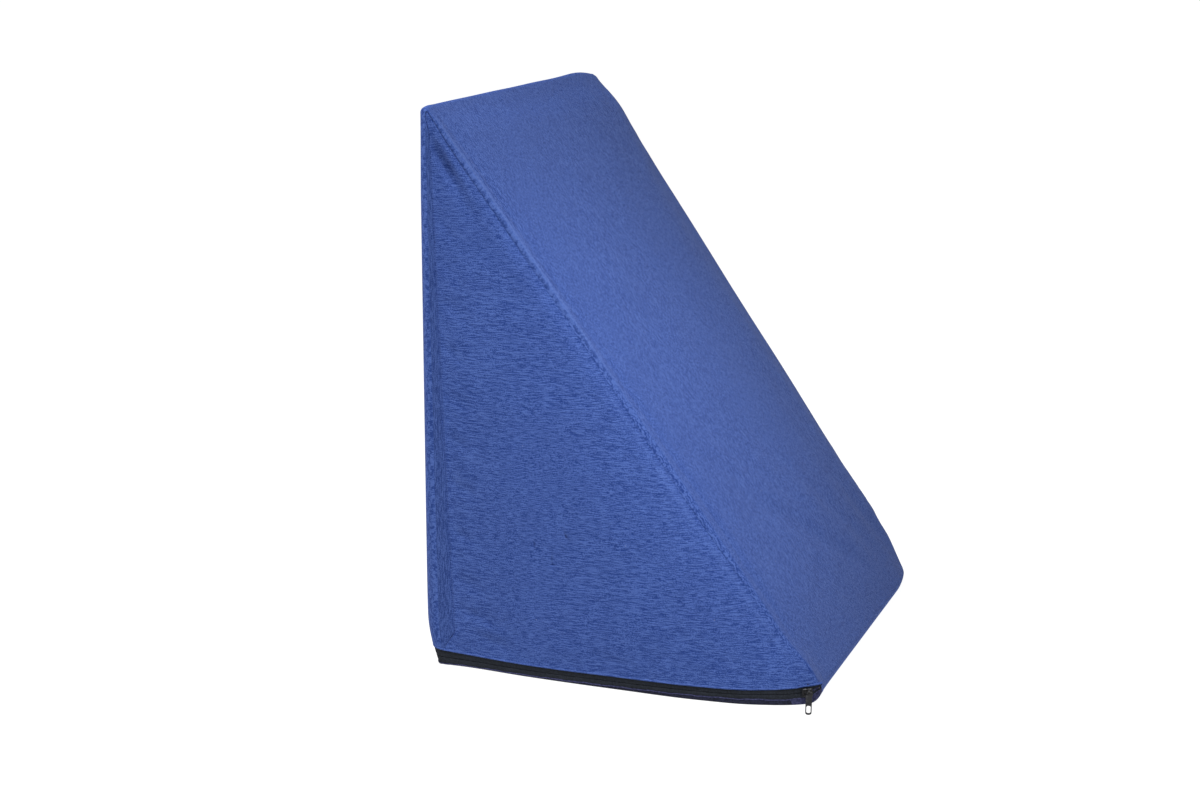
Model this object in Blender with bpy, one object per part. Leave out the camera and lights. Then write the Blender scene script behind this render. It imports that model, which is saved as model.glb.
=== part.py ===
"""A triangular backrest pillow: a firm wedge in a fitted cover, with a zip along one end.

Metres, +Z up. The origin is the middle of the base. The upright back faces -X, the sloped face
looks to +X, and the end with the zip, called the near end, faces -Y.
"""

import math

import bmesh
import bpy
import numpy as np
from mathutils import Matrix, Vector

# Driving sizes of the wedge
HEIGHT = 0.500
WIDTH = 0.450
DEPTH = 0.350

# Radii of the rounded corners of its triangular section
RIDGE_RADIUS = 0.005
TOE_RADIUS = 0.008
HEEL_RADIUS = 0.008

# How fast the rings across an end panel grow rounder, towards its middle
INNER_ROUNDING = 0.14

# Filled surfaces: how far the cover stands out in the middle of each panel, and the power that
# keeps the slope and the back flat until they bend down to their corners
SLOPE_CROWN = 0.008
BACK_CROWN = 0.006
FAR_END_CROWN = 0.014
CROWN_FLATNESS = 5

# Where the cover draws in: the ridge between its ends, the ridge's near end where the seams meet,
# the back just above the floor, and at the far end the two corners of the slope
RIDGE_DIP = 0.001
NEAR_PINCH = 0.0025
NEAR_PINCH_DEPTH = 0.016
NEAR_PINCH_REACH = 0.030
HEEL_TUCK = 0.009
HEEL_TUCK_HEIGHT = 0.045
FAR_TUCK = 0.015
FAR_TUCK_DEPTH = 0.100
FAR_TUCK_REACH = 0.055

# The near end's toe corner is stuffed fuller: by how much, at what height, how wide and how deep
TOE_PUFF = 0.006
TOE_PUFF_HEIGHT = 0.024
TOE_PUFF_REACH = 0.036
TOE_PUFF_DEPTH = 0.060

# Radius of the near end's edge along the floor
FLOOR_EDGE = 0.0025

# Seams: the groove on the thread line, and the turned-in cloth that raises the slope beside it
SEAM_GROOVE = 0.0014
SEAM_WIDTH = 0.0030
SEAM_START = 0.0002
ALLOWANCE_RISE = 0.0009
ALLOWANCE_WIDTH = 0.0075
ALLOWANCE_FADE = 0.0020

# The groove across a seam: share of its width from the thread line, share of its depth
GROOVE = ((-0.5, 0.0), (0.15, 1.0), (0.8, 0.0))

# Zip tapes: the share of the band's height where they meet, how much of each shows at the toe,
# and how much lower or higher the band runs on for each radian round the heel, as a share of DEPTH
GAP = 0.0003
TAPE_THICKNESS = 0.0010
MEETING_SHARE = 0.46
UPPER_AT_TOE = 0.0016
LOWER_AT_TOE = 0.0008
HEEL_RUN_ON = 0.06

# The rebate that the tapes lie in runs a little past them at both ends
REBATE_DEPTH = 0.0019
REBATE_OVERRUN = 0.002
REBATE_TURN_OVERRUN = math.radians(8)
CUTTER_REACH = 0.004

# Slider, pull and teeth
SLIDER_PLACE = 0.1625
SLIDER_LENGTH = 0.0095
SLIDER_HEIGHT = 0.0070
SLIDER_THICKNESS = 0.0026
SLIDER_BEVEL = 0.0008
BAND_SAG = 0.0003
POST_ROOT = 0.0010
POST_BEVEL = 0.0002
BAR_BEVEL = 0.0003
BAR_RADIUS = 0.0005
BAR_LENGTH = 0.0060
BAR_RISE = 0.0034
PULL_WIDTH = 0.0054
PULL_LENGTH = 0.0280
PULL_THICKNESS = 0.0011
PULL_SIDE = 0.0009
PULL_NECK = 0.0016
PULL_EYE = 0.0017
PULL_EYE_WALL = 0.0006
PULL_SLOT = 0.0105
PULL_END_WALL = 0.0012
PULL_NECK_LAP = 0.003
PULL_TURN = math.radians(13)
TOOTH_START = 0.0012
TOOTH_END = 0.0030
TOOTH_PITCH = 0.0018
TOOTH_RADIUS = 0.0007
TOOTH_WAIST = 0.55
TOOTH_SINK = 0.4

# Fineness of the meshes
WRAP_STEPS = 11
TURN_STEPS = 4
FACE_INSETS = (0.040, 0.056, 0.078, 0.100)
BAND_TURN = math.radians(80)
BAND_STEPS = 30
CORNER_STEPS = 5
ROUND_STEPS = 12
BORE_STEPS = 16

# Points along each stretch of the section's outline, from the heel round by the toe and the ridge
LOOP_COUNTS = {"base": 18, "toe": 4, "slope": 22, "ridge": 4, "back": 18, "heel": 4}

# The turn from the wrap panel onto each end panel, at the places where it changes
EDGES = {
    # place: (near radius, near seam's distance from the outline, far radius)
    "base start": (FLOOR_EDGE, 0.004, 0.012),
    "toe start": (0.0015, 0.0025, 0.034),
    "slope start": (0.0015, 0.0025, 0.040),
    "ridge start": (0.0008, 0.0012, 0.042),
    "back start": (0.006, 0.010, 0.034),
    "heel start": (0.014, 0.028, 0.014),
}

# The near seam runs off its straight line up the slope, further in at the lower middle
SLOPE_SEAM = (
    # share of the slope, distance from the outline
    (0.00, 0.0025),
    (0.16, 0.0030),
    (0.33, 0.0045),
    (0.52, 0.0034),
    (0.72, 0.0014),
    (1.00, 0.0012),
)

# How far the near end stands out at the floor, along the base from heel to toe
END_BULGE = (
    # along, out
    (0.00, 0.000),
    (0.10, 0.002),
    (0.28, 0.013),
    (0.52, 0.024),
    (0.73, 0.031),
    (0.86, 0.029),
    (0.95, 0.019),
    (1.00, 0.008),
    (1.04, 0.000),
)

# Height of the zip band's two edges: the base panel's fold below it and the end panel's hem above
ZIP_BAND = (
    # along, fold, hem
    (-0.10, 0.0015, 0.0160),
    (0.00, 0.0015, 0.0150),
    (0.10, 0.0015, 0.0128),
    (0.28, 0.0020, 0.0115),
    (0.52, 0.0030, 0.0120),
    (0.73, 0.0042, 0.0125),
    (0.86, 0.0048, 0.0130),
    (0.95, 0.0052, 0.0145),
    (0.97, 0.0058, 0.0150),
    (1.00, 0.0125, 0.0160),
)

# The filled wedge isn't a true prism: where its corners settle, from where the sizes put them
CORNER_SHIFTS = (
    # across from near to far, corner, x, y, z
    (0, "toe", 0.008, 0.016, 0.000),
    (0, "ridge", -0.001, 0.001, -0.0045),
    (1, "toe", 0.002, -0.004, 0.000),
    (1, "ridge", 0.010, 0.002, 0.001),
)


def eased(table, column, along):
    """A column of a table at a place along it, with soft turns between its rows."""
    rows = np.array(table)
    place = min(max(along, rows[0, 0]), rows[-1, 0])
    step = min(max(int(np.searchsorted(rows[:, 0], place)) - 1, 0), len(rows) - 2)
    slopes = np.gradient(rows[:, column], rows[:, 0])
    span = rows[step + 1, 0] - rows[step, 0]
    t = (place - rows[step, 0]) / span
    return float(
        rows[step, column] * (2 * t**3 - 3 * t**2 + 1)
        + slopes[step] * span * (t**3 - 2 * t**2 + t)
        + rows[step + 1, column] * (3 * t**2 - 2 * t**3)
        + slopes[step + 1] * span * (t**3 - t**2)
    )


def smooth(value):
    value = min(max(value, 0.0), 1.0)
    return value * value * (3 - 2 * value)


def mixed(first, last, share):
    return first + (last - first) * share


class Section:
    """The wedge's rounded triangular section, inset by any distance from its outline."""

    def __init__(self):
        ridge_angle = math.atan2(DEPTH, HEIGHT)
        toe_angle = math.atan2(HEIGHT, DEPTH)
        ridge_over = (1 / math.tan(ridge_angle / 2) - 1) * RIDGE_RADIUS
        toe_over = (1 / math.tan(toe_angle / 2) - 1) * TOE_RADIUS
        self.corners = {
            "heel": np.array([-DEPTH / 2, 0.0]),
            "toe": np.array([DEPTH / 2 + toe_over, 0.0]),
            "ridge": np.array([-DEPTH / 2, HEIGHT + ridge_over]),
        }
        self.radii = {"heel": HEEL_RADIUS, "toe": TOE_RADIUS, "ridge": RIDGE_RADIUS}
        self.sides = {"base": ("heel", "toe"), "slope": ("toe", "ridge"), "back": ("ridge", "heel")}
        self.run = {}
        self.normal = {}
        for side, (start, end) in self.sides.items():
            run = self.corners[end] - self.corners[start]
            self.run[side] = run / np.linalg.norm(run)
            self.normal[side] = np.array([self.run[side][1], -self.run[side][0]])

    def arc(self, corner, inset):
        """Centre and radius of a corner's arc, and the sides before and after it."""
        before = next(side for side, ends in self.sides.items() if ends[1] == corner)
        after = next(side for side, ends in self.sides.items() if ends[0] == corner)
        half = math.acos(-self.run[before] @ self.run[after]) / 2
        inward = self.run[after] - self.run[before]
        inward = inward / np.linalg.norm(inward) / math.sin(half)
        fade = math.exp(-inset / self.radii[corner])
        radius = self.radii[corner] * fade + INNER_ROUNDING * inset * (1 - fade)
        return self.corners[corner] + inward * (inset + radius), radius, before, after

    def point(self, stretch, t, inset):
        """The point at t, from 0 to 1, along a side or round a corner, and the outward normal."""
        if stretch in self.sides:
            start, end = self.sides[stretch]
            normal = self.normal[stretch]
            first_centre, first_radius, _, _ = self.arc(start, inset)
            last_centre, last_radius, _, _ = self.arc(end, inset)
            first = first_centre + normal * first_radius
            last = last_centre + normal * last_radius
            return mixed(first, last, t), normal
        centre, radius, before, after = self.arc(stretch, inset)
        turn = math.acos(self.normal[before] @ self.normal[after])
        angle = math.atan2(self.normal[before][1], self.normal[before][0]) + turn * t
        normal = np.array([math.cos(angle), math.sin(angle)])
        return centre + normal * radius, normal


SECTION = Section()


def loop_places():
    """(stretch, t) of every point round the outline."""
    return [(name, step / count) for name, count in LOOP_COUNTS.items() for step in range(count)]


def along_end(x, z):
    """Share of the way from the back to the slope at a height, and the room left there."""
    room = min(max(1 - z / HEIGHT, 0.02), 1.0)
    return min(max((x + DEPTH / 2) / (DEPTH * room), 0.0), END_BULGE[-1][0]), room


def stands_out(x, z, near):
    """How far an end panel stands out from its flat plane."""
    along, room = along_end(x, z)
    if near:
        return eased(END_BULGE, 1, along) * room**1.5
    return FAR_END_CROWN * 4 * along * max(1 - along, 0.0) * room


def settled(x, z, depth, near):
    """Where a point of the plain prism lies on the filled one, at a depth in from an end."""
    middle = 1 - (1 - depth / (WIDTH / 2)) ** 2
    back_share = max(0.0, -2 * x / DEPTH) ** 6
    out = stands_out(x, z, near) * (1 - depth / (WIDTH / 2))
    z -= RIDGE_DIP * middle * smooth((z / HEIGHT - 0.7) / 0.3)
    x += HEEL_TUCK * (1 - min(z / HEEL_TUCK_HEIGHT, 1)) ** 2 * back_share
    from_ridge = math.hypot(x + DEPTH / 2, z - HEIGHT)
    if near:
        puff = TOE_PUFF * max(0.0, 1 - depth / TOE_PUFF_DEPTH) ** 2
        slope_x = DEPTH / 2 - TOE_PUFF_HEIGHT * DEPTH / HEIGHT
        from_puff = math.hypot(x - slope_x, z - TOE_PUFF_HEIGHT)
        pinch = NEAR_PINCH * max(0.0, 1 - depth / NEAR_PINCH_DEPTH) ** 2
        x += puff * smooth(1 - from_puff / TOE_PUFF_REACH)
        z -= pinch * smooth(1 - from_ridge / NEAR_PINCH_REACH)
    else:
        lost = FAR_TUCK * max(0.0, 1 - depth / FAR_TUCK_DEPTH) ** 2
        from_toe = math.hypot(x - DEPTH / 2, z)
        x -= lost * smooth(1 - from_toe / FAR_TUCK_REACH)
        z -= lost * smooth(1 - from_ridge / FAR_TUCK_REACH)
    y = WIDTH / 2 - depth + out
    y = -y if near else y
    across = min(max(y / WIDTH + 0.5, 0.0), 1.0)
    shares = {"toe": (x + DEPTH / 2) / DEPTH, "ridge": z / HEIGHT}
    move = np.zeros(3)
    for end, corner, *shift in CORNER_SHIFTS:
        move += np.array(shift) * shares[corner] * (across if end else 1 - across)
    return (x + move[0], y + move[1], z + move[2])


def placed(stretch, t, inset, depth, near, rise=0.0):
    """A point of the cover: inset from the outline, at a depth in from an end."""
    (x, z), normal = SECTION.point(stretch, t, inset)
    middle = 1 - (1 - depth / (WIDTH / 2)) ** 2
    crown = {"slope": SLOPE_CROWN, "back": BACK_CROWN}.get(stretch, 0.0)
    out = crown * (1 - abs(2 * t - 1) ** CROWN_FLATNESS) * middle + rise
    return settled(x + normal[0] * out, z + normal[1] * out, depth, near)


def edge_sizes(stretch, t, near):
    """Radius of the turn onto an end panel, and the seam's distance from the outline."""
    names = list(LOOP_COUNTS)
    following = names[(names.index(stretch) + 1) % len(names)]
    corner_after = {"base": "toe start", "slope": "ridge start", "back": "heel start"}
    start = EDGES[stretch + " start"]
    end = EDGES[corner_after.get(stretch, following + " start")]
    share = t if stretch in corner_after else smooth(t)
    if near:
        seam = eased(SLOPE_SEAM, 1, t) if stretch == "slope" else mixed(start[1], end[1], share)
        return mixed(start[0], end[0], share), seam
    radius = mixed(start[2], end[2], share)
    return radius, radius + SEAM_WIDTH / 2


def end_rings(near):
    """Rings from the flat of the wrap, over its edge and the seam, to the rim of an end panel."""
    allowance = [ALLOWANCE_WIDTH + ALLOWANCE_FADE, ALLOWANCE_WIDTH] if near else []
    rings = []
    for width in allowance:
        ring = []
        for stretch, t in loop_places():
            radius, _ = edge_sizes(stretch, t, near)
            rise = ALLOWANCE_RISE if stretch == "slope" and width == ALLOWANCE_WIDTH else 0.0
            ring.append(placed(stretch, t, 0.0, radius + width, near, rise * smooth(4 * t)))
        rings.append(ring)
    for turn in range(TURN_STEPS + 1):
        angle = math.pi / 2 * turn / TURN_STEPS
        ring = []
        for stretch, t in loop_places():
            radius, _ = edge_sizes(stretch, t, near)
            inset = radius * (1 - math.cos(angle))
            raised = near and stretch == "slope" and turn < TURN_STEPS
            rise = ALLOWANCE_RISE * smooth(4 * t) if raised else 0.0
            ring.append(placed(stretch, t, inset, radius * (1 - math.sin(angle)), near, rise))
        rings.append(ring)
    for side, share in GROOVE:
        ring = []
        for stretch, t in loop_places():
            radius, seam = edge_sizes(stretch, t, near)
            inset = max(seam + SEAM_WIDTH * side, radius + SEAM_START)
            sunk = 0.0 if stretch == "base" else SEAM_GROOVE * share
            ring.append(placed(stretch, t, inset, sunk, near))
        rings.append(ring)
    return rings


def panel_rings(near):
    """Rings across an end panel, and the point in their middle."""
    rings = [[placed(*place, inset, 0.0, near) for place in loop_places()] for inset in FACE_INSETS]
    return rings, tuple(np.mean(rings[-1], axis=0))


def wrap_rings(first, last):
    """Rings across the width, between the ends' first rings."""
    rings = []
    for step in range(1, WRAP_STEPS):
        ring = []
        for (stretch, t), start, end in zip(loop_places(), first, last):
            y = mixed(start[1], end[1], step / WRAP_STEPS)
            x, _, z = placed(stretch, t, 0.0, WIDTH / 2 - abs(y), y < 0)
            ring.append((x, y, z))
        rings.append(ring)
    return rings


def mesh_object(name, vertices, faces, finish):
    mesh = bpy.data.meshes.new(name)
    mesh.from_pydata([tuple(point) for point in vertices], [], faces)
    mesh.update()
    obj = bpy.data.objects.new(name, mesh)
    bpy.context.scene.collection.objects.link(obj)
    if finish:
        obj.data.materials.append(finish)
    return obj


def tube_faces(rows, around):
    """Quads of a tube through rows of points, open at both ends."""
    faces = []
    for row in range(rows - 1):
        for index in range(around):
            a = row * around + index
            b = row * around + (index + 1) % around
            faces.append((a, a + around, b + around, b))
    return faces


def capped_faces(rows):
    """Faces of a closed strip with four points in each row."""
    last = 4 * (rows - 1)
    return tube_faces(rows, 4) + [(0, 1, 2, 3), (last + 3, last + 2, last + 1, last)]


def cushion(finish):
    """The filled wedge: rings round its section from one end panel to the other."""
    near_panel, near_middle = panel_rings(True)
    far_panel, far_middle = panel_rings(False)
    near_end, far_end = end_rings(True), end_rings(False)
    wrap = wrap_rings(near_end[0], far_end[0])
    rings = near_panel[::-1] + near_end[::-1] + wrap + far_end + far_panel
    around = len(rings[0])
    vertices = [point for ring in rings for point in ring] + [near_middle, far_middle]
    faces = tube_faces(len(rings), around)
    near_index, far_index = len(vertices) - 2, len(vertices) - 1
    last = (len(rings) - 1) * around
    for index in range(around):
        following = (index + 1) % around
        faces.append((near_index, index, following))
        faces.append((far_index, last + following, last + index))
    obj = mesh_object("cushion", vertices, faces, finish)
    obj.data.shade_smooth()
    return obj


def band_edges(x):
    """Heights of the fold and the hem at a place along the near end."""
    along = x / DEPTH + 0.5
    return eased(ZIP_BAND, 1, along), eased(ZIP_BAND, 2, along)


def band_path():
    """(x, depth) along the zip from the toe to the heel and round its upright edge, as steps."""
    corner = EDGES["heel start"][0]
    start, end = DEPTH / 2 - 0.001, -DEPTH / 2 + corner
    path = [(mixed(start, end, step / BAND_STEPS), 0.0) for step in range(BAND_STEPS + 1)]
    path += [(end, BAND_TURN * step / CORNER_STEPS) for step in range(1, CORNER_STEPS + 1)]
    return path


def band_point(x, turn, height, depth):
    """A point of the zip band, at a depth behind the cover's surface."""
    corner = EDGES["heel start"][0]
    reach = corner - depth
    x -= reach * math.sin(turn)
    return settled(x, height, depth if turn == 0 else corner - reach * math.cos(turn), True)


def strip(name, finish, path, edges, outer, inner):
    """A strip along the zip band, between two heights and two depths, one row for each step."""
    vertices = []
    for x, turn in path:
        low, high = edges(x - HEEL_RUN_ON * turn * DEPTH)
        vertices.append(band_point(x, turn, low, outer))
        vertices.append(band_point(x, turn, low, inner))
        vertices.append(band_point(x, turn, high, inner))
        vertices.append(band_point(x, turn, high, outer))
    return mesh_object(name, vertices, capped_faces(len(path)), finish)


def meeting_height(x):
    """Height at which the two tapes meet, or part beyond the slider."""
    fold, hem = band_edges(x)
    return mixed(fold, hem, MEETING_SHARE)


def opening(x):
    """Share by which the tapes have parted, from the slider to the toe."""
    return smooth((x - SLIDER_PLACE) / (DEPTH / 2 - SLIDER_PLACE))


def upper_edges(x):
    _, hem = band_edges(x)
    low = meeting_height(x) + GAP / 2
    return mixed(low, hem - UPPER_AT_TOE, opening(x)), hem - GAP


def lower_edges(x):
    fold, _ = band_edges(x)
    high = meeting_height(x) - GAP / 2
    return fold + GAP, mixed(high, fold + LOWER_AT_TOE, opening(x))


def cut(target, cutter, operation="DIFFERENCE"):
    """Cuts or joins a shape and then removes the one that did it."""
    modifier = target.modifiers.new(operation.title(), "BOOLEAN")
    modifier.operation = operation
    modifier.solver = "EXACT"
    modifier.object = cutter
    bpy.context.view_layer.update()
    result = target.evaluated_get(bpy.context.evaluated_depsgraph_get())
    mesh = bpy.data.meshes.new_from_object(result)
    target.modifiers.clear()
    target.data = mesh
    bpy.data.objects.remove(cutter, do_unlink=True)


def zip_rebate(body):
    """Sinks the band that the zip's tapes lie in."""
    path = band_path()
    end, turn = path[-1]
    path = [(DEPTH / 2 + REBATE_OVERRUN, 0.0)] + path + [(end, turn + REBATE_TURN_OVERRUN)]
    cutter = strip("rebate", None, path, band_edges, -CUTTER_REACH, REBATE_DEPTH)
    cut(body, cutter)


def slider_frame():
    """The slider's place on the band: x to the heel, y out of the end, z up the end."""
    height = meeting_height(SLIDER_PLACE)
    half = SLIDER_LENGTH / 2
    behind = Vector(band_point(SLIDER_PLACE + half, 0.0, height, 0.0))
    ahead = Vector(band_point(SLIDER_PLACE - half, 0.0, height, 0.0))
    below = Vector(band_point(SLIDER_PLACE, 0.0, height - half, 0.0))
    above = Vector(band_point(SLIDER_PLACE, 0.0, height + half, 0.0))
    along = (ahead - behind).normalized()
    out = (above - below).cross(along).normalized()
    turn = Matrix((along, out, along.cross(out))).transposed()
    here = Vector(band_point(SLIDER_PLACE, 0.0, height, 0.0))
    return Matrix.Translation(here) @ turn.to_4x4()


def rounded_block(name, finish, size, middle, bevel, frame):
    mesh = bpy.data.meshes.new(name)
    shape = bmesh.new()
    place = Matrix.Translation(middle) @ Matrix.Diagonal((*size, 1))
    bmesh.ops.create_cube(shape, size=1.0, matrix=place)
    bmesh.ops.bevel(
        shape, geom=shape.edges[:], offset=bevel, segments=2, profile=0.5, affect="EDGES"
    )
    bmesh.ops.transform(shape, matrix=frame, verts=shape.verts)
    shape.to_mesh(mesh)
    shape.free()
    obj = bpy.data.objects.new(name, mesh)
    bpy.context.scene.collection.objects.link(obj)
    if finish:
        mesh.materials.append(finish)
    return obj


def slider(finish):
    """The slider's body, over both tapes, with the bar that holds its pull; returns the bar."""
    frame = slider_frame()
    face = TAPE_THICKNESS * 0.5 - GAP - BAND_SAG
    middle = (0, SLIDER_THICKNESS / 2 - face, 0)
    size = (SLIDER_LENGTH, SLIDER_THICKNESS, SLIDER_HEIGHT)
    body = rounded_block("zip_slider", finish, size, middle, SLIDER_BEVEL, frame)
    top = SLIDER_THICKNESS - face
    for side in (-1, 1):
        post_size = (BAR_RADIUS * 2, BAR_RISE + POST_ROOT, BAR_RADIUS * 2)
        post_out = top + (BAR_RISE - POST_ROOT) / 2
        post_middle = (side * (BAR_LENGTH / 2 - BAR_RADIUS), post_out, 0)
        post = rounded_block("post", None, post_size, post_middle, POST_BEVEL, frame)
        cut(body, post, "UNION")
    bar_size = (BAR_LENGTH, BAR_RADIUS * 2, BAR_RADIUS * 2)
    bar_middle = Vector((0, top + BAR_RISE - BAR_RADIUS, 0))
    bar = rounded_block("bar", None, bar_size, bar_middle, BAR_BEVEL, frame)
    cut(body, bar, "UNION")
    return frame @ bar_middle


def slot_outline(length, width, start):
    """A slot with round ends, in the pull's plane, running on from its start."""
    radius = width / 2
    points = []
    for centre, first in ((start + length - radius, -math.pi / 2), (start + radius, math.pi / 2)):
        for step in range(ROUND_STEPS + 1):
            angle = first + math.pi * step / ROUND_STEPS
            points.append((centre + radius * math.cos(angle), radius * math.sin(angle)))
    return points


def plate(name, finish, outline, low, high, frame):
    """A flat plate with an outline, between two heights of its own frame."""
    count = len(outline)
    vertices = [frame @ Vector((*point, low)) for point in outline]
    vertices += [frame @ Vector((*point, high)) for point in outline]
    faces = [tuple(range(count))[::-1], tuple(range(count, 2 * count))]
    faces += [(i, (i + 1) % count, count + (i + 1) % count, count + i) for i in range(count)]
    return mesh_object(name, vertices, faces, finish)


def pull(finish, bar):
    """The pull tab: a slotted plate that leans from the slider's bar down to the floor."""
    drop = math.asin((bar.z - PULL_THICKNESS / 2 - GAP) / PULL_LENGTH)
    heading = Matrix.Rotation(PULL_TURN - math.pi / 2, 4, "Z") @ Matrix.Rotation(drop, 4, "Y")
    frame = Matrix.Translation(bar) @ heading
    half = PULL_THICKNESS / 2
    ring = PULL_EYE + PULL_EYE_WALL
    tab = slot_outline(PULL_LENGTH - ring, PULL_WIDTH, ring)
    body = plate("zip_pull", finish, tab, -half, half, frame)
    hole_start = PULL_LENGTH - PULL_SLOT - PULL_END_WALL
    hole = slot_outline(PULL_SLOT, PULL_WIDTH - 2 * PULL_SIDE, hole_start)
    cut(body, plate("slot", None, hole, -CUTTER_REACH, CUTTER_REACH, frame))
    wide, far = PULL_NECK / 2, ring + PULL_NECK_LAP
    neck = [(0.0, -wide), (far, -wide), (far, wide), (0.0, wide)]
    cut(body, plate("neck", None, neck, -half * 0.8, half * 0.8, frame), "UNION")
    side = frame @ Matrix.Rotation(math.pi / 2, 4, "X")
    angles = [2 * math.pi * step / BORE_STEPS for step in range(BORE_STEPS)]
    curl = [(ring * math.cos(angle), ring * math.sin(angle)) for angle in angles]
    cut(body, plate("curl", None, curl, -wide * 1.1, wide * 1.1, side), "UNION")
    bore = [(PULL_EYE * math.cos(angle), PULL_EYE * math.sin(angle)) for angle in angles]
    cut(body, plate("bore", None, bore, -wide * 2, wide * 2, side))
    return body


def coil(finish):
    """The teeth of the parted zip, up the free edge of the upper tape to the toe."""
    first = SLIDER_PLACE + SLIDER_LENGTH / 2 + TOOTH_START
    last = DEPTH / 2 - TOOTH_END
    count = int((last - first) / TOOTH_PITCH * 2)
    path = [(mixed(last, first, step / count), 0.0) for step in range(count + 1)]
    vertices = []
    for index, (x, turn) in enumerate(path):
        low, _ = upper_edges(x)
        size = TOOTH_RADIUS * (1.0 if index % 2 else TOOTH_WAIST)
        for side_height, side_depth in ((-1, -1), (-1, 1), (1, 1), (1, -1)):
            height = low - GAP - TOOTH_RADIUS + side_height * size
            depth = side_depth * size - TOOTH_RADIUS * TOOTH_SINK
            vertices.append(band_point(x, turn, height, depth))
    return mesh_object("zip_coil", vertices, capped_faces(len(path)), finish)


def material(name, colour, roughness, metallic=0.0):
    made = bpy.data.materials.new(name)
    made.use_nodes = True
    shader = made.node_tree.nodes["Principled BSDF"]
    shader.inputs["Base Color"].default_value = (*colour, 1.0)
    shader.inputs["Roughness"].default_value = roughness
    shader.inputs["Metallic"].default_value = metallic
    return made


def clear_scene():
    for obj in list(bpy.data.objects):
        bpy.data.objects.remove(obj, do_unlink=True)


def build():
    clear_scene()
    cloth = material("blue_cloth", (0.055, 0.10, 0.35), 0.9)
    tape = material("black_tape", (0.016, 0.016, 0.020), 0.85)
    metal = material("dark_metal", (0.045, 0.045, 0.050), 0.4, 0.8)
    body = cushion(cloth)
    zip_rebate(body)
    outer = TAPE_THICKNESS * 0.5
    inner = outer + TAPE_THICKNESS
    strip("zip_tape_upper", tape, band_path(), upper_edges, outer, inner)
    strip("zip_tape_lower", tape, band_path(), lower_edges, outer, inner)
    coil(tape)
    bar = slider(metal)
    pull(metal, bar)


build()
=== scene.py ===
"""The looks of the triangular backrest pillow: its cloth, seams, zip, floor, light and camera.

Metres, +Z up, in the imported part's frame: the base lies on the floor, the upright back faces -X,
the sloped face looks to +X and the near end, with the zip, faces -Y.
"""

import math

import bmesh
import bpy
import numpy as np
from mathutils import Matrix, Vector
from mathutils.kdtree import KDTree


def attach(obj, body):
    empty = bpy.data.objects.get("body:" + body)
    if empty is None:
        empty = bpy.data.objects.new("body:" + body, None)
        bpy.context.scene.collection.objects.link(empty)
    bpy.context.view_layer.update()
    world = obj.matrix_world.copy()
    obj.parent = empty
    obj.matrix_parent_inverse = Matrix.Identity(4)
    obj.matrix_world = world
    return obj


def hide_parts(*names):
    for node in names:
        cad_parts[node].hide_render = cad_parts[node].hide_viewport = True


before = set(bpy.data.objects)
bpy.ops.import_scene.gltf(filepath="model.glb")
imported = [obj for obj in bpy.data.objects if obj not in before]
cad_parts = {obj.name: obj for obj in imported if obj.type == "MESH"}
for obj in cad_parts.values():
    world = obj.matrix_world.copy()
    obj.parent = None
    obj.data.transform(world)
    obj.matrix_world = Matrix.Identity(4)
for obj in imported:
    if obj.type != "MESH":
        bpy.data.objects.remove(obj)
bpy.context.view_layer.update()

# Camera, in metres and degrees, with its focal length in pixels of the photograph's width
FRAME_WIDTH = 1200.0
FOCAL_LENGTH = 2468.0
SENSOR_WIDTH = 36.0
CAMERA_EYE = (0.6494, -2.1725, 0.6768)
CAMERA_YAW = math.radians(18.725)
CAMERA_PITCH = math.radians(11.639)
CAMERA_ROLL = math.radians(0.226)

# The wedge and how its cover fills out and draws in, as in the part's source
HEIGHT = 0.500
WIDTH = 0.450
DEPTH = 0.350
RIDGE_RADIUS = 0.005
TOE_RADIUS = 0.008
HEEL_RADIUS = 0.008
INNER_ROUNDING = 0.14
SLOPE_CROWN = 0.008
BACK_CROWN = 0.006
FAR_END_CROWN = 0.014
CROWN_FLATNESS = 5
RIDGE_DIP = 0.001
HEEL_TUCK = 0.009
HEEL_TUCK_HEIGHT = 0.045
FAR_TUCK = 0.015
FAR_TUCK_DEPTH = 0.100
FAR_TUCK_REACH = 0.055
TOE_PUFF = 0.006
TOE_PUFF_HEIGHT = 0.024
TOE_PUFF_REACH = 0.036
TOE_PUFF_DEPTH = 0.060
NEAR_PINCH = 0.0025
NEAR_PINCH_DEPTH = 0.016
NEAR_PINCH_REACH = 0.030
FLOOR_EDGE = 0.0025

# The turn from the wrap panel onto each end panel, at the places where it changes
EDGES = {
    # place: (near radius, near seam's distance from the outline, far radius)
    "base start": (FLOOR_EDGE, 0.004, 0.012),
    "toe start": (0.0015, 0.0025, 0.034),
    "slope start": (0.0015, 0.0025, 0.040),
    "ridge start": (0.0008, 0.0012, 0.042),
    "back start": (0.006, 0.010, 0.034),
    "heel start": (0.014, 0.028, 0.014),
}

# How far the near end stands out at the floor, along the base from heel to toe
END_BULGE = (
    # along, out
    (0.00, 0.000),
    (0.10, 0.002),
    (0.28, 0.013),
    (0.52, 0.024),
    (0.73, 0.031),
    (0.86, 0.029),
    (0.95, 0.019),
    (1.00, 0.008),
    (1.04, 0.000),
)

# Height of the zip band's two edges: the base panel's fold below it and the end panel's hem above
ZIP_BAND = (
    # along, fold, hem
    (-0.10, 0.0015, 0.0160),
    (0.00, 0.0015, 0.0150),
    (0.10, 0.0015, 0.0128),
    (0.28, 0.0020, 0.0115),
    (0.52, 0.0030, 0.0120),
    (0.73, 0.0042, 0.0125),
    (0.86, 0.0048, 0.0130),
    (0.95, 0.0052, 0.0145),
    (0.97, 0.0058, 0.0150),
    (1.00, 0.0125, 0.0160),
)

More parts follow.
